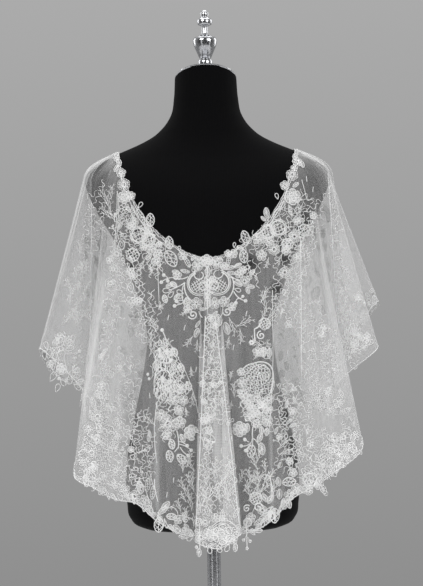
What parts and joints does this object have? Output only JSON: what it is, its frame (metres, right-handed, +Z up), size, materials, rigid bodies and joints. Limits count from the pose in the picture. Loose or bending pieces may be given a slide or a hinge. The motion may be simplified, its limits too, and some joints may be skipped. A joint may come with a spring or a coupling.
{
  "type": "lace shawl on dress form",
  "caption": "White tulle and corded-lace capelet shawl with a deep round neckline, a dipped back and folded wings, worn closed on a limbless dress form on a stand.",
  "frame": {"origin": "centre of the base plate's underside, on the floor under the pole", "axes": "+Z up along the pole; -Y towards the shawl's long, dipped back side; +X to the right of someone facing that side"},
  "size_m": [0.5515, 0.3253, 1.2856],
  "materials": {
    "tulle": "sheer fine net with a faint sheen",
    "corded_lace": "raised white cord and satin-stitched petals",
    "black_jersey": "matt black stretch jersey over a smooth form",
    "chrome": "polished"
  },
  "bodies": {
    "root": {"back_gore": "tulle", "back_panel_left": "tulle", "back_panel_right": "tulle", "wing_left": "tulle", "wing_right": "tulle", "front_panel_left": "tulle", "front_panel_right": "tulle", "back_medallion": "corded_lace", "side_applique_left": "corded_lace", "side_applique_right": "corded_lace", "neck_lace_back_left": "corded_lace", "neck_lace_front": "corded_lace", "neck_lace_back_right": "corded_lace", "hem_lace_gore": "corded_lace", "hem_lace_back_left": "corded_lace", "hem_lace_back_right": "corded_lace", "hem_lace_wing_left": "corded_lace", "hem_lace_wing_right": "corded_lace", "hem_lace_front_left": "corded_lace", "hem_lace_front_right": "corded_lace", "torso": "black_jersey", "neck_cap": "chrome", "finial_base": "chrome", "finial_urn": "chrome", "finial_top": "chrome", "torso_flange": "chrome", "pole": "chrome", "pole_hub": "chrome", "base_plate": "chrome"}
  },
  "joints": []
}
